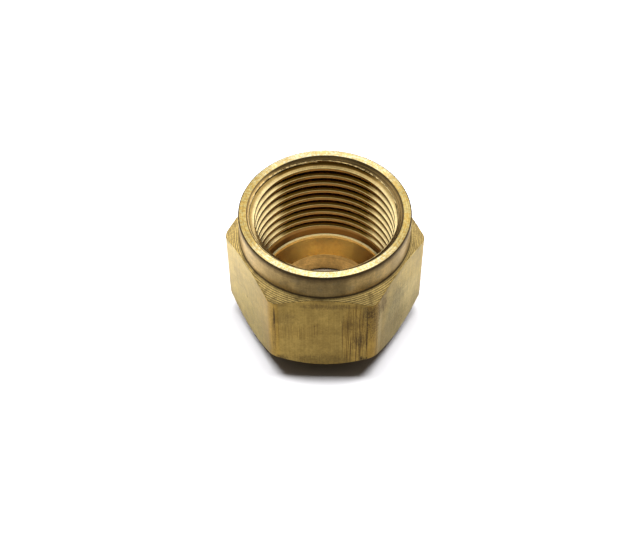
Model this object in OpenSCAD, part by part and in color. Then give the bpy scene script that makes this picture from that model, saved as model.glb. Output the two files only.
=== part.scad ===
// Short 45 degree flare nut, machined from drawn hexagon brass bar.
// The nut stands on its tube end: origin at the centre of the tube-end face,
// +Z up the axis and out of the threaded mouth. Millimetres.

/* [Drawing] */
// Sub-part to draw

/* [Hexagon] */
// Width across the wrench flats
across_flats = 32; // [31.8:0.1:36]
// Radius of the six drawn corners
corner_radius = 2.2; // [1.2:0.1:3]
// Height from the tube end to the rim of the mouth
total_height = 27.8; // [26.8:0.1:30]
// Slope of the chamfer under the collar, from the level plane
shoulder_slope = 30; // [20:1:35]
// Slope of the bevel round the tube end, from the level plane
bevel_slope = 45; // [40:1:50]
// Height of the tube-end bevel, on the middle of a flat
bevel_height = 3.4; // [2:0.1:4]

/* [Collar] */
// Diameter of the turned collar round the mouth
collar_diameter = 31; // [30:0.1:31.4]
// Height of the collar above the hexagon
collar_height = 5.35; // [4:0.05:7]
// Edge break on the rim of the collar
rim_break = 0.2; // [0.1:0.05:0.3]

/* [Thread] */
// Major diameter, at the root of the internal thread
thread_major = 27.2; // [26.9:0.05:27.4]
// Minor diameter, on the crests of the internal thread
thread_minor = 25.1; // [25:0.05:25.2]
// Pitch of the right-hand thread
thread_pitch = 2; // [1.9:0.05:2.1]
// Angle round the axis of a groove standing level with the hexagon shoulder
thread_phase = 71; // [0:1:359]
// Diameter of the mouth chamfer at the rim
mouth_diameter = 28.2; // [27.8:0.1:28.6]
// Slope of the mouth chamfer, from the axis
mouth_slope = 45; // [30:1:45]
// Height of the groove's middle where the thread starts, above the seat ring
runout_height = 1.45; // [1.2:0.05:2]
// Turns over which the groove deepens from nothing to the full thread
runout_turns = 0.75; // [0.5:0.05:1]

/* [Seat and tube bore] */
// Height of the inner edge of the narrow ring at the bottom of the threaded bore
seat_top = 7.5; // [7:0.05:8]
// Width of the ring
seat_ring = 0.35; // [0.2:0.05:0.5]
// Slope of the ring from the level plane, falling towards the axis
ring_slope = 20; // [0:1:30]
// Height of the plain land between the ring and the cone
seat_land = 0.65; // [0.3:0.05:0.8]
// Diameter of the bore the tube passes through
tube_bore = 19.6; // [19.4:0.1:20.4]
// Edge break on the tube end of the bore
bore_break = 0.3; // [0.2:0.05:0.4]

/* [Hidden] */
$fn = 96;

BRASS = [0.79, 0.66, 0.36];
OVERCUT = 1;

hex_apothem = across_flats / 2;
hex_corner = across_flats / sqrt(3);
collar_radius = collar_diameter / 2;
major_radius = thread_major / 2;
minor_radius = thread_minor / 2;
mouth_radius = mouth_diameter / 2;
bore_radius = tube_bore / 2;

// Levels up the axis
shoulder_z = total_height - collar_height;
outer_reach = hex_corner + OVERCUT;
shoulder_drop = (outer_reach - collar_radius) * tan(shoulder_slope);
bevel_foot_radius = hex_apothem - bevel_height / tan(bevel_slope);
bevel_rise = (outer_reach - bevel_foot_radius) * tan(bevel_slope);
mouth_depth = (mouth_radius - minor_radius) / tan(mouth_slope);
land_radius = minor_radius - seat_ring;
ring_top = seat_top + seat_ring * tan(ring_slope);
cone_top = seat_top - seat_land;
cone_foot = cone_top - (land_radius - bore_radius);

// 60 degree thread form, cut into a bore of the minor diameter
flank = tan(30);
root_flat = thread_pitch / 8;
root_overlap = 0.3;
groove_inner_radius = minor_radius - root_overlap;
groove_inner_half = root_flat / 2 + (major_radius - groove_inner_radius) * flank;

// Run-out: the groove starts clear of the wall and sinks into it
runout_clearance = 0.05;
runout_depth = major_radius - minor_radius + runout_clearance;

// Helical path of the groove, from the run-out above the seat to clear above the rim
segments_per_turn = 40;
helix_start_z = seat_top + runout_height;
helix_end_z = total_height + thread_pitch;
helix_turns = (helix_end_z - helix_start_z) / thread_pitch;
helix_steps = ceil(helix_turns * segments_per_turn);
helix_start_angle = thread_phase + 360 * (helix_start_z - shoulder_z) / thread_pitch;

// Corner of the drawn bar: the arc is centred on the corner line
corner_centre = (hex_apothem - corner_radius) / cos(30);

// ---- sub-part ----

module flare_nut() {
    color(BRASS)
    difference() {
        intersection() {
            hexagon_bar();
            turned_outline();
        }
        bored_outline();
        thread_groove();
    }
}

// ---- building blocks ----

// Drawn hexagon bar with a flat facing -Y and round corners
module hexagon_bar() {
    linear_extrude(height = total_height)
        polygon(bar_section());
    for (side = [0:5])
        rotate([0, 0, 60 * side])
            translate([corner_centre, 0, 0])
                cylinder(h = total_height, r = corner_radius);
}

// Twelve-sided core of the bar: the ends of its six corner arcs
function bar_section() = [
    for (side = [0:5])
        for (end = [-30, 30])
            [
                corner_centre * cos(60 * side) + corner_radius * cos(60 * side + end),
                corner_centre * sin(60 * side) + corner_radius * sin(60 * side + end)
            ]
];

// Everything the lathe leaves on the outside: bevel, shoulder, collar, rim
module turned_outline() {
    rotate_extrude()
        polygon([
            [0, 0],
            [bevel_foot_radius, 0],
            [outer_reach, bevel_rise],
            [outer_reach, shoulder_z - shoulder_drop],
            [collar_radius, shoulder_z],
            [collar_radius, total_height - rim_break],
            [collar_radius - rim_break, total_height],
            [0, total_height]
        ]);
}

// Everything the lathe takes out of the inside, thread groove apart
module bored_outline() {
    rotate_extrude()
        polygon([
            [0, -OVERCUT],
            [bore_radius + bore_break + OVERCUT, -OVERCUT],
            [bore_radius, bore_break],
            [bore_radius, cone_foot],
            [land_radius, cone_top],
            [land_radius, seat_top],
            [minor_radius, ring_top],
            [minor_radius, total_height - mouth_depth],
            [mouth_radius, total_height],
            [mouth_radius + OVERCUT * tan(mouth_slope), total_height + OVERCUT],
            [0, total_height + OVERCUT]
        ]);
}

// Four corners of the groove section at one step along the helix
function groove_section(step) =
    let (
        turn = helix_turns * step / helix_steps,
        angle = helix_start_angle + 360 * turn,
        level = helix_start_z + thread_pitch * turn,
        along = [cos(angle), sin(angle), 0],
        short = runout_depth * max(0, 1 - turn / runout_turns),
        root = major_radius - short,
        inner = groove_inner_radius - short
    )
    [
        inner * along + [0, 0, level - groove_inner_half],
        root * along + [0, 0, level - root_flat / 2],
        root * along + [0, 0, level + root_flat / 2],
        inner * along + [0, 0, level + groove_inner_half]
    ];

// Right-hand helical groove of the internal thread
module thread_groove() {
    points = [for (step = [0:helix_steps]) each groove_section(step)];
    sides = [
        for (step = [0:helix_steps - 1])
            for (corner = [0:3])
                let (
                    next = (corner + 1) % 4,
                    near = 4 * step,
                    far = 4 * (step + 1)
                )
                each [
                    [near + corner, near + next, far + next],
                    [near + corner, far + next, far + corner]
                ]
    ];
    first_cap = [[3, 2, 1, 0]];
    last = 4 * helix_steps;
    last_cap = [[last, last + 1, last + 2, last + 3]];
    polyhedron(points, concat(sides, first_cap, last_cap), convexity = 10);
}

flare_nut();
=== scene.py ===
"""Short brass flare nut on a pale floor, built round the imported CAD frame."""

import math

import bpy
import numpy as np
from mathutils import Matrix, Vector


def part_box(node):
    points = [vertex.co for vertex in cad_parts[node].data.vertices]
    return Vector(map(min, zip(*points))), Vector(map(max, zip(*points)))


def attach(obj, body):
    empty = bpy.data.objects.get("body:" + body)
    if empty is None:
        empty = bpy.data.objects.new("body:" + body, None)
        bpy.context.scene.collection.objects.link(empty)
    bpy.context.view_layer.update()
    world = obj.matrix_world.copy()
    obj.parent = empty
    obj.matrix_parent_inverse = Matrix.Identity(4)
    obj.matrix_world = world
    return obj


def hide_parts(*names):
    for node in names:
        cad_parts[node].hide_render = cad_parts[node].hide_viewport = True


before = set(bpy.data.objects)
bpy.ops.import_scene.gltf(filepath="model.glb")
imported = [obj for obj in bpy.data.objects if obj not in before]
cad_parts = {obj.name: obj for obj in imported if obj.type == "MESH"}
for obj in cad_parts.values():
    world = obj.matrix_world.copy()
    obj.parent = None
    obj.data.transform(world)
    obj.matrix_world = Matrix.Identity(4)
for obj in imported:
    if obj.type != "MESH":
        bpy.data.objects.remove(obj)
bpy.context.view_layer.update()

NODE = "flare_nut"
MM = 0.001

# ---------------------------------------------------------------- sizes, in millimetres

low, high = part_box(NODE)
APOTHEM = (high.y - low.y) / 2 / MM
HEIGHT = (high.z - low.z) / MM
CORNER_RADIUS = 2.2

COLLAR_RADIUS = 15.5
COLLAR_HEIGHT = 5.35
SHOULDER_SLOPE = math.tan(math.radians(30))
BEVEL_HEIGHT = 3.4
BEVEL_SLOPE = math.tan(math.radians(45))

MAJOR_RADIUS = 13.6
MINOR_RADIUS = 12.55
PITCH = 2.0
THREAD_PHASE = math.radians(71)
MOUTH_RADIUS = 14.1
MOUTH_SLOPE = math.tan(math.radians(45))

SEAT_TOP = 7.5
SEAT_RING = 0.35
RING_SLOPE = math.tan(math.radians(20))
SEAT_LAND = 0.65
BORE_RADIUS = 9.8
BORE_BREAK = 0.3

FLANK = math.tan(math.radians(30))
ROOT_HALF = PITCH / 16
GROOVE_HALF = ROOT_HALF + (MAJOR_RADIUS - MINOR_RADIUS) * FLANK
RUNOUT_HEIGHT = 1.45
RUNOUT_TURNS = 0.75
RUNOUT_CLEARANCE = 0.05
RUNOUT_START = SEAT_TOP + RUNOUT_HEIGHT
RUNOUT_END = RUNOUT_START + RUNOUT_TURNS * PITCH
RUNOUT_DEPTH = MAJOR_RADIUS - MINOR_RADIUS + RUNOUT_CLEARANCE
# the helical rows end a little more than half a groove below the run-out
THREAD_FOOT = RUNOUT_START - 0.9

SHOULDER_Z = HEIGHT - COLLAR_HEIGHT
BEVEL_FOOT = APOTHEM - BEVEL_HEIGHT / BEVEL_SLOPE
MOUTH_FOOT = HEIGHT - (MOUTH_RADIUS - MINOR_RADIUS) / MOUTH_SLOPE
CONE_TOP = SEAT_TOP - SEAT_LAND
LAND_RADIUS = MINOR_RADIUS - SEAT_RING
RING_TOP = SEAT_TOP + SEAT_RING * RING_SLOPE
CONE_FOOT = CONE_TOP - (LAND_RADIUS - BORE_RADIUS)

CORNER_CENTRE = (APOTHEM - CORNER_RADIUS) / math.cos(math.pi / 6)

# ---------------------------------------------------------------- columns round the axis

FLAT_COLUMNS = 42
CORNER_COLUMNS = 14
TANGENT_ANGLE = math.atan2(CORNER_CENTRE * math.sin(math.pi / 6), APOTHEM)


def column_angles():
    """Angles of the mesh columns, closer together round the six corners, over one full turn."""
    corner_half = math.pi / 6 - TANGENT_ANGLE
    angles = []
    for side in range(6):
        middle = side * math.pi / 3
        corner_end = middle + corner_half
        flat_end = middle + math.pi / 3 - corner_half
        angles += list(np.linspace(middle - corner_half, corner_end, CORNER_COLUMNS, endpoint=False))
        angles += list(np.linspace(corner_end, flat_end, FLAT_COLUMNS, endpoint=False))
    first = angles[0]
    return np.array([angle - first for angle in angles] + [2 * math.pi]) + first


def hexagon_radius(angle):
    """Radius of the drawn bar at an angle: flats joined by round corners, a corner at angle 0."""
    from_corner = np.abs((angle + math.pi / 6) % (math.pi / 3) - math.pi / 6)
    from_flat = math.pi / 6 - from_corner
    flat = APOTHEM / np.cos(from_flat)
    sine = CORNER_CENTRE * np.sin(from_corner)
    arc = CORNER_CENTRE * np.cos(from_corner) + np.sqrt(np.maximum(CORNER_RADIUS ** 2 - sine ** 2, 0))
    return np.where(from_flat < TANGENT_ANGLE, flat, arc)


ANGLE = column_angles()
HEX = hexagon_radius(ANGLE)
COLUMNS = len(ANGLE)

# ---------------------------------------------------------------- profile of the nut

# material zones, in the order of the object's material slots
TUBE_END, BEVEL, FLATS, SHOULDER, COLLAR, RIM, MOUTH, THREAD, SEAT, BORE = range(10)


def point(radius, level):
    """One profile point in every column."""
    return np.stack([np.broadcast_to(radius, COLUMNS), np.broadcast_to(level, COLUMNS)], axis=1).astype(float)


# distance of a support row from the end of its stretch, and rows across a rounded corner
SUPPORT_GAP = 0.05
ROUND_STEPS = 3


def bevel_level(radius):
    return (radius - BEVEL_FOOT) * BEVEL_SLOPE


def shoulder_level(radius):
    return SHOULDER_Z - (radius - COLLAR_RADIUS) * SHOULDER_SLOPE


def rounded(before, corner, after, radius, steps):
    """Points of a small round between two straight stretches of the profile."""
    back = before - corner
    on = after - corner
    back_length = np.linalg.norm(back, axis=1, keepdims=True)
    on_length = np.linalg.norm(on, axis=1, keepdims=True)
    back = back / back_length
    on = on / on_length
    cosine = np.clip((back * on).sum(axis=1, keepdims=True), -1, 1)
    reach = radius / np.tan(np.arccos(cosine) / 2)
    reach = np.minimum(reach, 0.45 * np.minimum(back_length, on_length))
    start = corner + back * reach
    end = corner + on * reach
    places = np.linspace(0, 1, steps + 1)
    return [start * (1 - t) ** 2 + corner * 2 * t * (1 - t) + end * t ** 2 for t in places]


def stretch(start, end, rows):
    """Points between two ends of a straight stretch, with a support row close to each end."""
    length = np.linalg.norm(end - start, axis=1, keepdims=True)
    near = np.minimum(SUPPORT_GAP / np.maximum(length, 1e-9), 0.2)
    inner = [near + (1 - 2 * near) * t for t in np.linspace(0, 1, rows)]
    return [start + (end - start) * t for t in inner]


# Corners of the outside, walked from the bore up to the mouth: place, edge round,
# rows of the stretch after it, material zone of that stretch.
OUTSIDE = [
    (point(BORE_RADIUS, CONE_FOOT / 2), 0.0, 2, BORE),
    (point(BORE_RADIUS, BORE_BREAK), 0.1, 2, BORE),
    (point(BORE_RADIUS + BORE_BREAK, 0.0), 0.1, 4, TUBE_END),
    (point(BEVEL_FOOT, 0.0), 0.2, 10, BEVEL),
    (np.stack([HEX, bevel_level(HEX)], axis=1), 0.12, 12, FLATS),
    (np.stack([HEX, shoulder_level(HEX)], axis=1), 0.12, 14, SHOULDER),
    (point(COLLAR_RADIUS, SHOULDER_Z), 0.12, 10, COLLAR),
    (point(COLLAR_RADIUS, HEIGHT), 0.22, 5, RIM),
    (point(MOUTH_RADIUS, HEIGHT), 0.12, 2, MOUTH),
]


def groove_radius(distance):
    """Radius of the thread form at an axial distance from the middle of the nearest groove."""
    off = np.abs((distance + PITCH / 2) % PITCH - PITCH / 2)
    radius = MAJOR_RADIUS - np.maximum(off - ROOT_HALF, 0) / FLANK
    return np.maximum(radius, MINOR_RADIUS)


def groove_level(angle):
    """Level of one groove middle at an angle."""
    return SHOULDER_Z + (angle - THREAD_PHASE) / (2 * math.pi) * PITCH


# rows of one pitch, in millimetres up from the middle of a groove
HALF_ROWS = [ROOT_HALF * 0.7, ROOT_HALF * 1.6, 0.33, 0.5, GROOVE_HALF - 0.05, GROOVE_HALF + 0.04, 0.85]
PITCH_ROWS = [0.0] + HALF_ROWS + [PITCH / 2] + [PITCH - u for u in reversed(HALF_ROWS)]
# the crest's two edge rows are drawn in a little, which rounds its edges
CREST_ROUND = 0.03
CREST_EDGE = 0.06
# the helical rows end this far below the rim
MOUTH_LIP = 0.1
# points closer than this are one point
MERGE_DISTANCE = 2e-4


def thread_rows():
    """Helical rows from the mouth down to the plain wall above the seat, clamped at both ends."""
    top = HEIGHT - MOUTH_LIP
    bottom = THREAD_FOOT
    middle = groove_level(ANGLE)
    first = math.floor((bottom - middle.max()) / PITCH) - 1
    last = math.ceil((top - middle.min()) / PITCH) + 1
    rows = []
    for turn in range(first, last + 1):
        for offset in PITCH_ROWS:
            nearest = middle + (turn + (offset > PITCH / 2)) * PITCH
            shallow = np.clip((RUNOUT_END - nearest) / (RUNOUT_END - RUNOUT_START), 0, 1)
            form = groove_radius(np.full(COLUMNS, offset))
            if abs(min(offset, PITCH - offset) - GROOVE_HALF) < CREST_EDGE:
                form = form + CREST_ROUND
            form = np.maximum(form - RUNOUT_DEPTH * shallow, MINOR_RADIUS)
            level = np.clip(middle + turn * PITCH + offset, bottom, top)
            form = np.where(level <= bottom, MINOR_RADIUS, form)
            form = np.where(level >= top, groove_radius(level - middle), form)
            cone = MOUTH_RADIUS - (HEIGHT - level) * MOUTH_SLOPE
            rows.append(np.stack([np.maximum(form, cone), level], axis=1))
    rows.reverse()
    return rows


# Corners of the inside, walked from the foot of the thread down to the middle of the bore.
INSIDE = [
    (point(MINOR_RADIUS, RING_TOP), 0.03, 2, SEAT),
    (point(LAND_RADIUS, SEAT_TOP), 0.06, 2, SEAT),
    (point(LAND_RADIUS, CONE_TOP), 0.06, 14, SEAT),
    (point(BORE_RADIUS, CONE_FOOT), 0.1, 4, BORE),
    (point(BORE_RADIUS, CONE_FOOT / 2), 0.0, 0, BORE),
]


def walk(corners, before, after, zone_before):
    """Rows along a run of corners, and the material zone that starts at each row.

    `before` and `after` are the profile points on either side of the run, None where the
    first or last corner is a sharp one.
    """
    places = [before] + [corner[0] for corner in corners] + [after]
    arcs = []
    for k, corner in enumerate(corners):
        place, radius = corner[:2]
        if radius == 0:
            arcs.append([place])
        else:
            arcs.append(rounded(places[k], place, places[k + 2], radius, ROUND_STEPS))
    rows = []
    zones = []
    for k, corner in enumerate(corners):
        count, zone = corner[2:]
        rows += arcs[k]
        zones += [zone_before] * (len(arcs[k]) - 1) + [zone]
        zone_before = zone
        if k + 1 < len(corners):
            between = stretch(arcs[k][-1], arcs[k + 1][0], count)
            rows += between
            zones += [zone] * len(between)
    return rows, zones


def nut_profile():
    """The whole closed profile: an array of rows x columns x (radius, level), and the zone of each row."""
    rows, zones = walk(OUTSIDE, None, point(MINOR_RADIUS, MOUTH_FOOT), BORE)
    helix = thread_rows()
    inside, inside_zones = walk(INSIDE, point(MINOR_RADIUS, THREAD_FOOT), None, THREAD)
    return np.array(rows + helix + inside), zones + [THREAD] * len(helix) + inside_zones


def face_zone(zone, radius, level):
    """Material zone of a face: what is left of the mouth chamfer between the grooves isn't thread."""
    if zone != THREAD or level <= MOUTH_FOOT:
        return zone
    chamfer = MOUTH_RADIUS - (HEIGHT - level) * MOUTH_SLOPE
    return MOUTH if radius < chamfer + 0.01 else THREAD


def mesh_faces(profile, zones, grid):
    """Faces between neighbouring rows and columns, each one once, and the material zone of each."""
    faces = []
    face_zones = []
    seen = set()
    for r in range(len(profile) - 1):
        for c in range(COLUMNS - 1):
            loop = []
            for v in (grid[r, c], grid[r, c + 1], grid[r + 1, c + 1], grid[r + 1, c]):
                if v not in loop:
                    loop.append(int(v))
            tag = frozenset(loop)
            if len(loop) < 3 or tag in seen:
                continue
            seen.add(tag)
            faces.append(loop)
            radius, level = (profile[r, c] + profile[r + 1, c]) / 2
            face_zones.append(face_zone(zones[r], radius, level))
    return faces, face_zones


def nut_mesh():
    """One closed mesh swept round the axis, with points that fall together merged."""
    profile, zones = nut_profile()
    x = profile[:, :, 0] * np.cos(ANGLE)
    y = profile[:, :, 0] * np.sin(ANGLE)
    z = profile[:, :, 1]
    points = np.stack([x, y, z], axis=2).reshape(-1, 3)
    key = np.round(points / MERGE_DISTANCE).astype(np.int64)
    first, index = np.unique(key, axis=0, return_index=True, return_inverse=True)[1:]
    faces, face_zones = mesh_faces(profile, zones, index.reshape(len(profile), COLUMNS))
    mesh = bpy.data.meshes.new("nut_body")
    mesh.from_pydata([tuple(p) for p in points[first] * MM], [], faces)
    mesh.polygons.foreach_set("material_index", face_zones)
    mesh.polygons.foreach_set("use_smooth", [True] * len(faces))
    mesh.validate()
    mesh.update()
    return mesh


nut = bpy.data.objects.new("nut_body", nut_mesh())
bpy.context.scene.collection.objects.link(nut)

# ---------------------------------------------------------------- materials


class Nodes:
    """Short way to build a node tree: values or sockets go in, a socket comes out."""

    def __init__(self, tree):
        self.tree = tree

    def node(self, kind, **settings):
        made = self.tree.nodes.new(kind)
        for name, value in settings.items():
            setattr(made, name, value)
        return made

    def put(self, socket, value):
        if isinstance(value, bpy.types.NodeSocket):
            self.tree.links.new(value, socket)
        elif isinstance(value, tuple) and len(value) == 3 and socket.type == "RGBA":
            socket.default_value = (*value, 1)
        else:
            socket.default_value = value

    def math(self, kind, *values, clamp=False):
        made = self.node("ShaderNodeMath", operation=kind, use_clamp=clamp)
        for socket, value in zip(made.inputs, values):
            self.put(socket, value)
        return made.outputs[0]

    def product(self, *values):
        total = values[0]
        for value in values[1:]:
            total = self.math("MULTIPLY", total, value)
        return total

    def vector(self, kind, *values):
        made = self.node("ShaderNodeVectorMath", operation=kind)
        for socket, value in zip(made.inputs, values):
            self.put(socket, value)
        return made.outputs["Value" if kind in ("DOT_PRODUCT", "LENGTH") else "Vector"]

    def ramp(self, value, stops):
        """Eased colour ramp; a stop's colour is a tuple, or one number for a grey."""
        made = self.node("ShaderNodeValToRGB")
        made.color_ramp.interpolation = "EASE"
        while len(made.color_ramp.elements) < len(stops):
            made.color_ramp.elements.new(0.5)
        for element, (place, colour) in zip(made.color_ramp.elements, stops):
            element.position = place
            element.color = (*colour, 1) if isinstance(colour, tuple) else (colour, colour, colour, 1)
        self.put(made.inputs[0], value)
        return made.outputs[0]

    def mix(self, kind, factor, first, second):
        made = self.node("ShaderNodeMix", data_type="RGBA", blend_type=kind)
        self.put(made.inputs[0], factor)
        self.put(made.inputs[6], first)
        self.put(made.inputs[7], second)
        return made.outputs[2]


class Surface:
    """Where a shading point lies on the nut, in millimetres, and the patterns that hang on it."""

    def __init__(self, kit):
        self.kit = kit
        place = kit.node("ShaderNodeTexCoord").outputs["Object"]
        self.place = kit.vector("SCALE", place)
        self.place.node.inputs["Scale"].default_value = 1 / MM
        parts = kit.node("ShaderNodeSeparateXYZ")
        kit.put(parts.inputs[0], self.place)
        self.x, self.y, self.level = parts.outputs
        flat = self.joined(self.x, self.y, 0.0)
        self.radius = kit.vector("LENGTH", flat)
        turn = kit.node("ShaderNodeSeparateXYZ")
        kit.put(turn.inputs[0], kit.vector("NORMALIZE", flat))
        self.cosine, self.sine = turn.outputs[0], turn.outputs[1]
        # 0 at the front and back of the nut, 1 at its two sides
        self.sideways = kit.product(self.cosine, self.cosine)

    def joined(self, x, y, z):
        made = self.kit.node("ShaderNodeCombineXYZ")
        for socket, value in zip(made.inputs, (x, y, z)):
            self.kit.put(socket, value)
        return made.outputs[0]

    def noise(self, where, scale=1.0, detail=3.0, roughness=0.5, seed=0.0):
        kit = self.kit
        made = kit.node("ShaderNodeTexNoise", noise_dimensions="4D")
        kit.put(made.inputs["Vector"], where)
        made.inputs["W"].default_value = seed
        made.inputs["Scale"].default_value = scale
        made.inputs["Detail"].default_value = detail
        made.inputs["Roughness"].default_value = roughness
        return made.outputs["Fac"]

    def cloud(self, size, seed, detail=4.0):
        """Soft mottling with patches about `size` millimetres across."""
        return self.noise(self.place, 1 / size, detail, 0.6, seed)

    def streaks(self, width, length, seed):
        """Lines running up the nut: `width` round it and `length` along it, in millimetres."""
        turn = APOTHEM / width
        rise = self.kit.math("DIVIDE", self.level, length)
        where = self.joined(self.kit.product(self.cosine, turn), self.kit.product(self.sine, turn), rise)
        return self.noise(where, 1.0, 3.0, 0.65, seed)

    def rings(self, distance, spacing, seed):
        """Uneven lathe marks at a mean spacing along a distance, nearly constant round the nut."""
        along = self.kit.math("DIVIDE", distance, spacing)
        where = self.joined(self.kit.product(self.cosine, 0.8), self.kit.product(self.sine, 0.8), along)
        return self.noise(where, 1.0, 2.0, 0.7, seed)

    def feed_marks(self, distance, pitch, seed, waver=2.5):
        """Regular grooves left by the tool's feed, from 0 to 1, a little wavy."""
        kit = self.kit
        wander = kit.product(self.noise(self.place, 0.5, 2.0, 0.5, seed), waver)
        phase = kit.math("ADD", kit.product(distance, 2 * math.pi / pitch), wander)
        return kit.math("MULTIPLY_ADD", kit.math("SINE", phase), 0.5, 0.5)

    def oval(self, angle, level, width, height):
        """Squared distance from the middle of an oval, 1 on its edge, and 1 on its side of the nut.

        The oval lies on the outside, at an angle in degrees and a level in millimetres.
        """
        kit = self.kit
        facing = math.radians(angle)
        across = (-math.sin(facing) / width, math.cos(facing) / width, 0.0)
        side = kit.vector("DOT_PRODUCT", self.place, across)
        front = kit.vector("DOT_PRODUCT", self.place, (math.cos(facing), math.sin(facing), 0.0))
        up = kit.math("MULTIPLY_ADD", self.level, 1 / height, -level / height)
        reach = kit.math("ADD", kit.product(side, side), kit.product(up, up))
        return reach, kit.math("GREATER_THAN", front, 0.0)

    def spot(self, angle, level, width, height, ragged, seed):
        """A mark with a ragged edge and a broken grain."""
        kit = self.kit
        reach, in_front = self.oval(angle, level, width, height)
        patchy = kit.math("ADD", self.noise(self.place, 1.9, 6.0, 0.75, seed), self.streaks(0.18, 2.2, seed))
        rough = kit.math("MULTIPLY_ADD", patchy, 4.0 * ragged, -4.0 * ragged)
        mark = kit.ramp(kit.math("ADD", reach, rough), [(0.0, 1.0), (0.35, 0.6), (1.0, 0.0)])
        grain = kit.math("ADD", self.noise(self.place, 5.0, 3.0, 0.6, seed + 0.5),
                         self.streaks(0.09, 4.0, seed))
        broken = kit.product(mark, self.band(grain, 0.78, 1.10))
        mark = kit.math("MULTIPLY_ADD", mark, 0.35, kit.product(broken, 0.65))
        return kit.product(mark, in_front)

    def area(self, angle, level, width, height):
        """A soft oval."""
        reach, in_front = self.oval(angle, level, width, height)
        return self.kit.product(self.band(reach, 1.2, 0.5), in_front)

    def groove_depth(self):
        """How far the nearest groove reaches behind this point, and 1 above the groove's middle."""
        kit = self.kit
        turns = kit.math("DIVIDE", kit.math("ARCTAN2", self.sine, self.cosine), 2 * math.pi)
        pitches = kit.math("MULTIPLY_ADD", self.level, 1 / PITCH, 0.5 - SHOULDER_Z / PITCH)
        along = kit.math("SUBTRACT", pitches, kit.math("SUBTRACT", turns, THREAD_PHASE / (2 * math.pi)))
        off = kit.math("SUBTRACT", kit.math("FLOORED_MODULO", along, 1.0), 0.5)
        apex = MAJOR_RADIUS + ROOT_HALF / FLANK
        form = kit.math("MULTIPLY_ADD", kit.math("ABSOLUTE", off), -PITCH / FLANK, apex)
        return kit.math("SUBTRACT", form, self.radius), kit.math("GREATER_THAN", off, 0.0)

    def band(self, distance, start, end):
        """0 before `start`, 1 past `end`; the two may be in either order."""
        made = self.kit.node("ShaderNodeMapRange", interpolation_type="SMOOTHSTEP")
        self.kit.put(made.inputs["Value"], distance)
        made.inputs["From Min"].default_value = min(start, end)
        made.inputs["From Max"].default_value = max(start, end)
        made.inputs["To Min"].default_value = 0.0 if start < end else 1.0
        made.inputs["To Max"].default_value = 1.0 if start < end else 0.0
        return made.outputs[0]


# dirt and wear on the brass; the grime colour is also used as painted shade in corners and along edges
TARNISH = (0.10, 0.062, 0.026)
GRIME_AND_SHADE = (0.045, 0.030, 0.016)
VERDIGRIS = (0.17, 0.155, 0.10)
WORN = (0.66, 0.55, 0.30)
# bare brass, from the dull drawn flats to the burnished ring; the burr and ring are also painted paler as
# highlights
DRAWN_BRASS = (0.455, 0.320, 0.096)
SHOULDER_BRASS = (0.66, 0.47, 0.165)
COLLAR_BRASS = (0.42, 0.29, 0.115)
RIM_BRASS = (0.96, 0.80, 0.42)
MOUTH_BRASS = (0.50, 0.33, 0.12)
BURR_BURNISH_AND_HIGHLIGHT = (1.0, 0.78, 0.38)
SEAT_BRASS = (1.0, 0.74, 0.30)
RING_BURNISH_AND_HIGHLIGHT = (1.0, 0.87, 0.44)
BORE_BRASS = (0.80, 0.56, 0.22)
BEVEL_BRASS = (0.50, 0.37, 0.14)
TUBE_END_BRASS = (0.55, 0.41, 0.17)
# the thread: cut flanks, drilled crests darkened partly with painted shade, and painted shade for its roots
# in different places
FLANK_BRASS = (0.96, 0.70, 0.28)
CREST_BRASS_AND_SHADE = (0.50, 0.33, 0.105)
ROOT_SHADE = (0.42, 0.26, 0.07)
SIDE_ROOT_SHADE = (0.17, 0.105, 0.030)
FIRST_ROOT_SHADE = (0.12, 0.058, 0.008)
FAR_GROOVE_SHADE = (0.14, 0.072, 0.007)

EDGE_TINT = (1.0, 0.98, 0.90, 1)
STAIN_ROUGHNESS = 0.18


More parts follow.
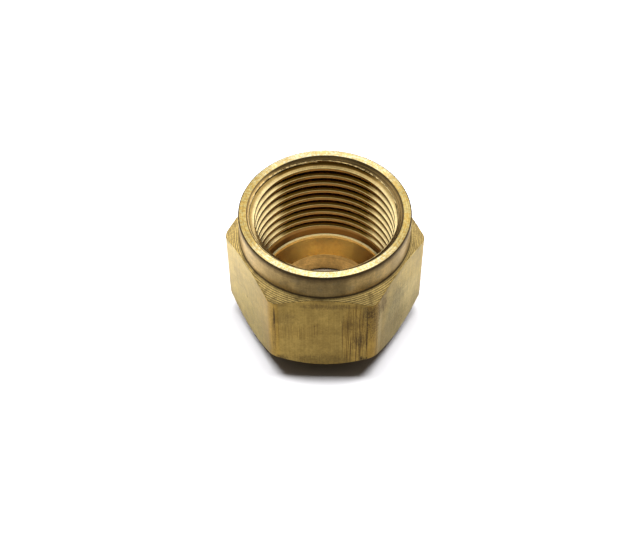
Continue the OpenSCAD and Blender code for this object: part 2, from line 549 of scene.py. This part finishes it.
class Brass:
    """One brass surface in the making: colour, roughness and height, each layered in turn."""

    def __init__(self, name, colour, roughness, anisotropy):
        self.material = bpy.data.materials.new(name)
        self.material.use_nodes = True
        self.material.node_tree.nodes.clear()
        self.kit = Nodes(self.material.node_tree)
        self.on = Surface(self.kit)
        self.colour = colour
        self.roughness = roughness
        self.anisotropy = anisotropy
        self.height = None

    def shade(self, pattern, dark, light=1.0, low=0.35, high=0.65, factor=1.0):
        """Multiply the colour by `dark` where the pattern is low and `light` where it is high."""
        tone = self.kit.ramp(pattern, [(low, dark), (high, light)])
        self.colour = self.kit.mix("MULTIPLY", factor, self.colour, tone)

    def tint(self, mask, colour):
        """Multiply the colour by `colour` where the mask is 1."""
        self.shade(mask, 1.0, colour, 0.0, 1.0)

    def paint(self, mask, colour):
        """Put `colour` where the mask is 1, as shiny as before."""
        self.colour = self.kit.mix("MIX", mask, self.colour, colour)

    def stain(self, mask, colour, strength=1.0):
        """Put `colour` where the mask is 1, and dull it."""
        amount = self.kit.math("MULTIPLY", mask, strength, clamp=True)
        self.paint(amount, colour)
        self.roughness = self.kit.math("ADD", self.roughness, self.kit.product(amount, STAIN_ROUGHNESS))

    def relief(self, pattern, depth):
        """Raise the surface by `depth` millimetres where the pattern is 1."""
        rise = self.kit.product(pattern, depth)
        self.height = rise if self.height is None else self.kit.math("ADD", self.height, rise)

    def done(self, marks_round=True):
        """The finished material; its highlight spreads across the tool marks, round the nut or up it."""
        kit = self.kit
        shader = kit.node("ShaderNodeBsdfPrincipled")
        shader.inputs["Metallic"].default_value = 1.0
        kit.put(shader.inputs["Base Color"], self.colour)
        kit.put(shader.inputs["Roughness"], self.roughness)
        shader.inputs["Specular Tint"].default_value = EDGE_TINT
        shader.inputs["Anisotropic"].default_value = self.anisotropy
        shader.inputs["Anisotropic Rotation"].default_value = 0.25 if marks_round else 0.0
        tangent = kit.node("ShaderNodeTangent", direction_type="RADIAL", axis="Z")
        kit.put(shader.inputs["Tangent"], tangent.outputs[0])
        bump = kit.node("ShaderNodeBump")
        bump.inputs["Distance"].default_value = MM
        kit.put(bump.inputs["Height"], self.height)
        kit.put(shader.inputs["Normal"], bump.outputs[0])
        out = kit.node("ShaderNodeOutputMaterial")
        kit.put(out.inputs[0], shader.outputs[0])
        return self.material


# stains on the drawn faces: angle, level, half width, half height, raggedness, strength, colour
STAINS = [
    (-67.5, 11.0, 1.6, 2.8, 1.0, 0.70, TARNISH),
    (-65, 5.2, 0.8, 1.2, 0.8, 1.00, GRIME_AND_SHADE),
    (-72, 16.0, 1.8, 3.4, 1.2, 0.40, TARNISH),
    (-63, 19.0, 1.6, 2.6, 1.0, 0.75, TARNISH),
    (-87, 20.6, 6.0, 0.9, 0.9, 0.60, TARNISH),
    (-63.7, 12.5, 0.17, 9.5, 0.10, 1.00, GRIME_AND_SHADE),
    (-67.2, 9.0, 0.14, 6.5, 0.15, 0.80, GRIME_AND_SHADE),
    (-72.5, 8.0, 0.14, 5.5, 0.15, 0.70, GRIME_AND_SHADE),
    (-118.4, 17.2, 0.24, 4.2, 0.20, 0.95, GRIME_AND_SHADE),
    (-119, 12.0, 0.5, 6.0, 0.7, 0.60, TARNISH),
    (-115, 5.2, 1.0, 1.4, 0.9, 0.90, TARNISH),
    (-90, 5.0, 6.5, 1.6, 1.1, 0.45, TARNISH),
    (-112, 17.0, 2.4, 2.0, 1.1, 0.35, TARNISH),
    (-122, 4.6, 1.0, 1.1, 0.8, 0.80, TARNISH),
    (-60, 16.0, 1.5, 5.0, 1.0, 0.45, TARNISH),
    (-54.6, 12.0, 0.85, 8.5, 0.25, 0.80, WORN),
    (-52, 18.5, 2.0, 2.6, 1.2, 0.70, TARNISH),
    (-36, 15.0, 4.2, 4.4, 1.0, 0.55, VERDIGRIS),
    (-30, 8.0, 3.6, 3.0, 1.0, 0.40, TARNISH),
    (-152, 12.5, 0.3, 0.35, 0.2, 0.85, GRIME_AND_SHADE),
    (28, 12.0, 4.0, 5.0, 1.0, 0.50, TARNISH),
    (75, 7.0, 3.0, 3.0, 1.0, 0.55, VERDIGRIS),
    (104, 15.0, 0.4, 4.0, 0.4, 0.80, GRIME_AND_SHADE),
    (160, 14.0, 4.0, 3.5, 1.0, 0.45, TARNISH),
]


CORNER_WEAR = (17.72, 17.92)


def drawn_brass():
    """Wrench flats and corners: die lines up the nut, tarnish clouds, stains, pits, worn edges, and painted
    sheen on the side flats.
    """
    brass = Brass("brass_drawn", DRAWN_BRASS, 0.34, 0.55)
    on, kit = brass.on, brass.kit
    brass.shade(on.cloud(6.0, 1.0), (0.84, 0.80, 0.74), (1.08, 1.06, 1.02))
    brass.shade(on.cloud(1.3, 2.0, 6.0), (0.88, 0.86, 0.82), (1.07, 1.06, 1.02))
    brass.shade(on.cloud(0.35, 12.0, 2.0), 0.90, 1.06)
    # the two flats beside the front one are paler: painted sheen of their glancing reflection
    brass.tint(on.area(-28, 8.5, 8.0, 8.0), (1.12, 1.18, 1.46))
    brass.tint(on.area(-150, 7.0, 8.0, 6.0), (1.16, 1.20, 1.14))
    # painted sheen: paler and cooler towards both sides of the nut
    brass.shade(on.sideways, 1.0, (1.0, 1.08, 1.18), 0.25, 0.60)
    add_die_lines(brass)
    for seed, (angle, level, width, tall, ragged, strength, colour) in enumerate(STAINS):
        brass.stain(on.spot(angle, level, width, tall, ragged, 20.0 + seed), colour, strength)
    brass.tint(on.band(on.radius, *CORNER_WEAR), (1.06, 1.0, 0.84))
    add_edge_wear(brass)
    add_scratches(brass)
    pits = on.band(on.cloud(0.42, 6.0, 2.0), 0.68, 0.74)
    brass.stain(pits, GRIME_AND_SHADE, 0.5)
    specks = on.band(on.cloud(0.24, 8.0, 3.0), 0.56, 0.68)
    brass.stain(kit.product(specks, on.area(-46, 16.0, 9.0, 7.0)), TARNISH, 0.55)
    freckles = on.band(on.cloud(0.35, 8.5, 3.0), 0.50, 0.62)
    brass.stain(kit.product(freckles, on.area(-60, 16.5, 1.7, 6.0)), TARNISH, 0.65)
    brass.relief(on.cloud(0.5, 7.0, 3.0), 0.012)
    brass.relief(pits, -0.02)
    return brass.done(marks_round=False)


def lined_area(brass):
    """Where the drawn lines show: faint patches all round, and one strong patch on the front flat."""
    patch = brass.kit.ramp(brass.on.cloud(7.0, 9.0, 2.0), [(0.50, 0.06), (0.68, 0.5)])
    strong = brass.on.area(-70.7, 12.5, 2.3, 9.5)
    return brass.kit.math("MAXIMUM", patch, strong, clamp=True)


def add_die_lines(brass):
    """Lines that the drawing die left up the bar."""
    fine = brass.on.streaks(0.10, 14.0, 4.0)
    coarse = brass.on.streaks(0.45, 40.0, 3.0)
    brass.shade(coarse, 0.90, 1.04)
    brass.shade(fine, (0.36, 0.29, 0.22), (1.20, 1.16, 1.08), 0.36, 0.56, lined_area(brass))
    brass.relief(fine, 0.022)
    brass.relief(coarse, 0.02)


def add_edge_wear(brass):
    """Bright wear along the edge that the shoulder cuts into the flats, and a dull band under it."""
    on, kit = brass.on, brass.kit
    shoulder_height = SHOULDER_Z + COLLAR_RADIUS * SHOULDER_SLOPE
    under_edge = kit.math("SUBTRACT", shoulder_height,
                          kit.math("MULTIPLY_ADD", on.radius, SHOULDER_SLOPE, on.level))
    bright = kit.product(on.band(under_edge, 0.32, 0.10), on.band(on.cloud(1.6, 14.0), 0.40, 0.60))
    brass.tint(bright, 1.5)
    dull = kit.product(on.band(under_edge, 1.1, 0.35), on.band(on.cloud(2.4, 15.0), 0.42, 0.62))
    brass.stain(dull, TARNISH, 0.4)


def add_scratches(brass):
    """Dark scratches up the nut inside the lined patches."""
    scratches = brass.on.band(brass.on.streaks(0.16, 24.0, 16.0), 0.47, 0.38)
    brass.stain(brass.kit.product(scratches, lined_area(brass)), TARNISH, 0.85)


def turned_brass(name, colour, roughness, along, seed, marks=0.16, depth=0.010, grime=0.0, anisotropy=0.6,
                 contrast=1.0):
    """Lathe-cut surface: fine rings, soft cloudiness, and grime where handling has worn it dull."""
    brass = Brass(name, colour, roughness, anisotropy)
    on = brass.on
    distance = {"out": on.radius, "up": on.level}[along]
    rings = on.rings(distance, marks, seed)
    fine_cloud = on.cloud(0.3, seed + 2, 2.0)
    brass.shade(rings, 1 - 0.20 * contrast, 1 + 0.12 * contrast)
    brass.shade(on.cloud(2.2, seed + 1), 0.84, 1.06)
    brass.shade(fine_cloud, 0.88, 1.08)
    if grime:
        brass.stain(on.band(on.cloud(2.6, seed + 3, 6.0), 0.45, 0.66), TARNISH, grime)
    brass.relief(rings, depth)
    brass.relief(fine_cloud, 0.004)
    return brass


def tube_end_brass():
    return turned_brass("brass_tube_end", TUBE_END_BRASS, 0.30, "out", 40.0, marks=0.3, depth=0.02,
                        grime=0.5).done()


def bevel_brass():
    return turned_brass("brass_bevel", BEVEL_BRASS, 0.30, "out", 43.0, marks=0.3, depth=0.02,
                        grime=0.5).done()


def bore_brass():
    return turned_brass("brass_bore", BORE_BRASS, 0.38, "up", 64.0, depth=0.008, grime=0.3).done()


def shoulder_brass():
    """Chamfer under the collar: coarse open feed marks, speckled gold, painted shade in the collar's corner
    and on the right side.
    """
    brass = turned_brass("brass_shoulder", SHOULDER_BRASS, 0.26, "out", 46.0)
    on = brass.on
    # painted shade on the right side
    brass.tint(on.band(on.cosine, 0.45, 0.90), 0.78)
    feed = on.feed_marks(on.radius, 0.30, 47.0, waver=0.6)
    brass.shade(feed, 0.60, 1.20, 0.2, 0.8)
    brass.relief(feed, 0.010)
    brass.shade(on.cloud(0.30, 48.5, 2.0), 0.88, 1.07, 0.38, 0.62)
    brass.stain(on.band(on.cloud(1.5, 49.0, 5.0), 0.50, 0.68), TARNISH, 0.5)
    # painted shade in the corner against the collar
    brass.stain(on.band(on.radius, COLLAR_RADIUS + 0.28, COLLAR_RADIUS + 0.10), GRIME_AND_SHADE, 0.8)
    return brass.done()


def collar_brass():
    """Collar wall: greyer and duller than the hexagon, tarnished towards the rim, with painted shade in the
    middle of its front, in a thin line under the rim and at its foot, and painted light to the front right
    and on the left.
    """
    brass = turned_brass("brass_collar", COLLAR_BRASS, 0.32, "up", 52.0, anisotropy=0.5, contrast=0.5)
    on = brass.on
    brass.shade(on.streaks(0.5, 3.0, 53.0), 0.90, 1.05)
    brass.stain(on.band(on.cloud(2.2, 54.0, 6.0), 0.50, 0.66), VERDIGRIS, 0.35)
    # painted shade in the middle of the front, painted light to the front right and on the left
    middle = SHOULDER_Z + COLLAR_HEIGHT / 2
    brass.tint(on.area(-90, middle, 5.0, 5.0), 0.68)
    brass.tint(on.area(-58, middle, 5.0, 5.0), 1.40)
    brass.tint(on.band(on.cosine, -0.55, -0.90), 1.25)
    ragged = brass.kit.math("MULTIPLY_ADD", on.cloud(1.2, 55.0), 1.4, on.level)
    brass.stain(on.band(ragged, HEIGHT - 1.2, HEIGHT + 0.35), TARNISH, 0.75)
    # painted shade in the corner at the collar's foot
    brass.stain(on.band(on.level, SHOULDER_Z + 0.46, SHOULDER_Z + 0.18), GRIME_AND_SHADE, 0.85)
    # painted shade: a thin dark line under the rim's rounded edge
    brass.stain(on.band(on.level, HEIGHT - 0.62, HEIGHT - 0.40), GRIME_AND_SHADE, 0.55)
    return brass.done()


def rim_brass():
    """Flat rim, faced bright with small patchy spots that are partly painted glints, and painted shade on its
    two sides.
    """
    brass = turned_brass("brass_rim", RIM_BRASS, 0.26, "out", 56.0, depth=0.006, anisotropy=0.0)
    # painted shade on the two sides of the rim
    brass.shade(brass.on.sideways, 1.0, (0.60, 0.54, 0.36), 0.30, 0.90)
    # patchy tone, with its pale spots painted as glints
    glint_flecks = brass.on.cloud(0.45, 57.5, 3.0)
    brass.shade(glint_flecks, (0.95, 0.85, 0.64), (1.04, 1.10, 1.28), 0.42, 0.58)
    return brass.done()


def mouth_brass():
    """Mouth chamfer: feed marks, a dark line of painted shade at the rim, painted light on the left and
    painted shade on the right, and a burr above the thread that breaks into it, burnished and painted bright
    as a highlight.
    """
    brass = turned_brass("brass_mouth", MOUTH_BRASS, 0.24, "up", 58.0, anisotropy=0.7)
    on, kit = brass.on, brass.kit
    feed = on.feed_marks(on.level, 0.30, 59.0)
    brass.shade(feed, 0.82, 1.10, 0.2, 0.8)
    brass.relief(feed, 0.008)
    # painted light on the left side
    brass.tint(on.band(on.cosine, -0.60, -0.95), 1.9)
    # painted shade on the right side
    brass.tint(on.band(on.cosine, 0.15, 0.60), 0.70)
    # painted shade: a thin dark line along the rim's inner edge
    brass.stain(on.band(on.level, HEIGHT - 0.34, HEIGHT - 0.16), GRIME_AND_SHADE, 0.75)
    depth, above = on.groove_depth()
    worn = on.band(on.cloud(0.6, 60.0, 5.0), 0.40, 0.56)
    # the burr, burnished and painted bright as a highlight
    brass.stain(kit.product(on.band(depth, -0.66, -0.30), above), BURR_BURNISH_AND_HIGHLIGHT, 0.9)
    brass.relief(kit.product(on.band(depth, -0.70, -0.14), kit.product(worn, above)), 0.24)
    return brass.done()


def seat_brass():
    """Flare seat, smooth and orange, with the burnished ring above it, painted paler partly as a highlight.
    """
    roughness = 0.25
    brass = turned_brass("brass_seat", SEAT_BRASS, roughness, "up", 61.0, depth=0.002, contrast=0.4,
                         anisotropy=0.3)
    ring = brass.on.band(brass.on.level, SEAT_TOP - 0.05, SEAT_TOP)
    # the burnished ring, painted paler partly as a highlight
    brass.paint(ring, RING_BURNISH_AND_HIGHLIGHT)
    brass.roughness = brass.kit.math("MULTIPLY_ADD", ring, -0.07, roughness)
    return brass.done()


def thread_brass():
    """Thread: dull brown crests, partly a drilled surface and partly painted shade, bright cut flanks, and
    roots darkened with painted shade.
    """
    brass = Brass("brass_thread", FLANK_BRASS, 0.16, 0.5)
    on, kit = brass.on, brass.kit
    depth = kit.math("SUBTRACT", on.radius, MINOR_RADIUS)
    # painted shade on roots and crests is left off the wall nearest the front, which lights up the seat in
    # reflection
    shaded_walls = kit.math("MULTIPLY_ADD", on.band(on.sine, -0.20, -0.70), -0.85, 1.0)
    # painted shade deep in the roots
    brass.paint(kit.product(on.band(depth, 0.20, 0.75), shaded_walls), ROOT_SHADE)
    # painted shade on the far wall between its crests, less of it in the first groove
    wedge = kit.math("MULTIPLY_ADD", on.cloud(1.5, 34.0), 0.10, on.sine)
    far_wall = on.band(wedge, 0.71, 0.87)
    below_first = on.band(on.level, HEIGHT - 2.0, HEIGHT - 2.4)
    in_first = kit.math("SUBTRACT", 1.0, below_first)
    brass.paint(kit.product(on.band(depth, 0.06, 0.22), below_first, far_wall), FAR_GROOVE_SHADE)
    brass.paint(kit.product(in_first, on.band(depth, 0.48, 0.66), far_wall), FIRST_ROOT_SHADE)
    # on the two sides: painted shade in the roots, and flanks paler with painted sheen
    at_sides = on.band(on.sideways, 0.30, 0.70)
    brass.paint(kit.product(at_sides, on.band(depth, 0.25, 0.70), below_first), SIDE_ROOT_SHADE)
    brass.shade(on.sideways, 1.0, (1.04, 1.12, 1.35), 0.30, 0.70)
    brass.shade(on.cloud(1.6, 31.0), 0.86, 1.05)
    brass.shade(on.cloud(0.25, 32.0, 2.0), 0.86, 1.08)
    # brown crests: a duller drilled surface, darkened further as painted shade
    brass.stain(kit.product(on.band(depth, 0.06, 0.02), shaded_walls), CREST_BRASS_AND_SHADE, 0.9)
    # painted shade on the crest tops of the far wall
    brass.tint(kit.product(on.band(depth, 0.03, 0.01), below_first, far_wall), (0.82, 0.74, 0.82))
    # the plain wall under the run-out is browner with painted shade, most of all at the sides
    plain_wall = on.band(on.level, RUNOUT_START + 0.6, RUNOUT_START - 0.1)
    brass.tint(plain_wall, (0.54, 0.47, 0.32))
    brass.tint(kit.product(plain_wall, on.band(on.sideways, 0.15, 0.45)), (0.50, 0.46, 0.38))
    brass.relief(on.rings(on.level, 0.12, 33.0), 0.004)
    # crests rolled slightly over the flanks
    brass.relief(on.band(depth, 0.22, 0.02), 0.036)
    return brass.done()


# in the order of the material zones
for make_material in (tube_end_brass, bevel_brass, drawn_brass, shoulder_brass, collar_brass, rim_brass,
                      mouth_brass, thread_brass, seat_brass, bore_brass):
    nut.data.materials.append(make_material())

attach(nut, "root")
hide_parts(NODE)

# ---------------------------------------------------------------- floor, light, camera

# The floor as the camera sees it: warm, and white where the cold lamp lights it; the warmth is painted bounce
# light from the brass in the shadow.
FLOOR_SEEN = (0.18, 0.15, 0.12)
LAMP_COLOUR = (1.0, 1.20, 1.55)
# The floor as the nut mirrors it: darker in front than behind as painted shade, and dim inside the bore as
# painted shadow.
REFLECTED_FRONT = (0.058, 0.048, 0.037)
REFLECTED_BACK = (0.170, 0.142, 0.110)
BORE_FLOOR = (0.082, 0.055, 0.031)
# Distances from the nut, in millimetres, over which the floor runs out into the white backdrop.
FLOOR_FADE = (140.0, 420.0)
FLOOR_HALF = 3.0


def floor_material():
    material = bpy.data.materials.new("floor_white")
    material.use_nodes = True
    material.node_tree.nodes.clear()
    kit = Nodes(material.node_tree)
    on = Surface(kit)
    seen = kit.node("ShaderNodeLightPath").outputs["Is Camera Ray"]
    # painted shade: mirrored brightness rises towards the back and the left
    sideways = kit.math("MULTIPLY_ADD", kit.math("ABSOLUTE", on.x), 0.4, kit.product(on.x, -0.3))
    behind = kit.math("MULTIPLY_ADD", on.y, 0.85, sideways)
    ahead = kit.math("ADD", kit.math("DIVIDE", behind, 90.0), 0.5, clamp=True)
    mirrored = kit.ramp(ahead, [(0.2, REFLECTED_FRONT), (0.9, REFLECTED_BACK)])
    tone = kit.mix("MIX", seen, mirrored, FLOOR_SEEN)
    # painted shadow on the floor under the nut, seen through the bore
    under_nut = kit.math("LESS_THAN", on.radius, BEVEL_FOOT)
    tone = kit.mix("MIX", under_nut, tone, BORE_FLOOR)
    diffuse = kit.node("ShaderNodeBsdfDiffuse")
    kit.put(diffuse.inputs["Color"], tone)
    backdrop = kit.node("ShaderNodeEmission")
    blend = kit.node("ShaderNodeMixShader")
    kit.put(blend.inputs[0], kit.product(on.band(on.radius, *FLOOR_FADE), seen))
    kit.put(blend.inputs[1], diffuse.outputs[0])
    kit.put(blend.inputs[2], backdrop.outputs[0])
    out = kit.node("ShaderNodeOutputMaterial")
    kit.put(out.inputs[0], blend.outputs[0])
    return material


def make_floor():
    mesh = bpy.data.meshes.new("floor")
    corners = [(-FLOOR_HALF, -FLOOR_HALF, 0), (FLOOR_HALF, -FLOOR_HALF, 0),
               (FLOOR_HALF, FLOOR_HALF, 0), (-FLOOR_HALF, FLOOR_HALF, 0)]
    mesh.from_pydata(corners, [], [(0, 1, 2, 3)])
    mesh.materials.append(floor_material())
    floor = bpy.data.objects.new("floor", mesh)
    bpy.context.scene.collection.objects.link(floor)
    return floor


# middle of the studio's lit side, above and behind the nut
SKY_AXIS = (0, 0.9, 0.436)
# brightness of the studio by angle from that middle, in degrees
SKY = [
    (0, 1.4), (35, 1.4), (55, 1.2), (66, 1.05), (75, 0.82), (84, 0.52), (92, 0.26), (100, 0.14),
    (112, 0.10), (121, 0.24), (132, 0.38), (150, 0.46), (180, 0.46),
]


def make_world():
    """Graded studio that lights the nut; the camera sees it as a white backdrop."""
    world = bpy.data.worlds.new("studio")
    bpy.context.scene.world = world
    world.use_nodes = True
    kit = Nodes(world.node_tree)
    where = kit.node("ShaderNodeTexCoord").outputs["Generated"]
    along = kit.vector("DOT_PRODUCT", kit.vector("NORMALIZE", where), SKY_AXIS)
    angle = kit.math("DIVIDE", kit.math("ARCCOSINE", along), math.pi)
    top = max(value for place, value in SKY)
    shade = kit.ramp(angle, [(place / 180, value / top) for place, value in SKY])
    seen = kit.node("ShaderNodeLightPath").outputs["Is Camera Ray"]
    shade = kit.mix("MIX", seen, shade, (1 / top, 1 / top, 1 / top))
    background = world.node_tree.nodes["Background"]
    kit.put(background.inputs["Color"], shade)
    background.inputs["Strength"].default_value = top
    world.cycles.sampling_method = "MANUAL"
    world.cycles.sample_map_resolution = 512


LAMP_PLACE = Vector((0, 0.050, 0.6))
LAMP_SIZE = (0.60, 0.12)
LAMP_POWER = 43.0


def make_floor_light(floor):
    """Overhead lamp for the floor alone: keeps it white and gives the nut its short shadow."""
    light = bpy.data.lights.new("floor_lamp", "AREA")
    light.shape = "RECTANGLE"
    light.size, light.size_y = LAMP_SIZE
    light.energy = LAMP_POWER
    light.color = LAMP_COLOUR
    lamp = bpy.data.objects.new("floor_lamp", light)
    lamp.location = LAMP_PLACE
    lamp.rotation_euler = (-LAMP_PLACE).to_track_quat("-Z", "Y").to_euler()
    bpy.context.scene.collection.objects.link(lamp)
    lit = bpy.data.collections.new("lit_by_floor_lamp")
    lit.objects.link(floor)
    lamp.light_linking.receiver_collection = lit
    lamp.visible_glossy = False


# camera at the photograph's viewing angle, in degrees, metres and millimetres of focal length
ELEVATION = math.radians(50.15)
TURN = math.radians(1.74)
ROLL = math.radians(0.304)
DISTANCE = 0.224
AIM = Vector((-0.00093, 0, 0.01217))
SENSOR_WIDTH = 36
FOCAL_LENGTH = 66.9825


def make_camera():
    data = bpy.data.cameras.new("camera")
    data.sensor_width = SENSOR_WIDTH
    data.lens = FOCAL_LENGTH
    data.clip_start = 0.01
    camera = bpy.data.objects.new("camera", data)
    back = Vector((0, -math.cos(ELEVATION), math.sin(ELEVATION)))
    right = Vector((1, 0, 0))
    up = back.cross(right)
    basis = Matrix((right, up, back)).transposed().to_4x4()
    place = Matrix.Translation(AIM + back * DISTANCE)
    camera.matrix_world = Matrix.Rotation(TURN, 4, "Z") @ place @ basis @ Matrix.Rotation(-ROLL, 4, "Z")
    bpy.context.scene.collection.objects.link(camera)
    bpy.context.scene.camera = camera


make_floor_light(make_floor())
make_world()
make_camera()
bpy.context.scene.view_settings.view_transform = "Standard"
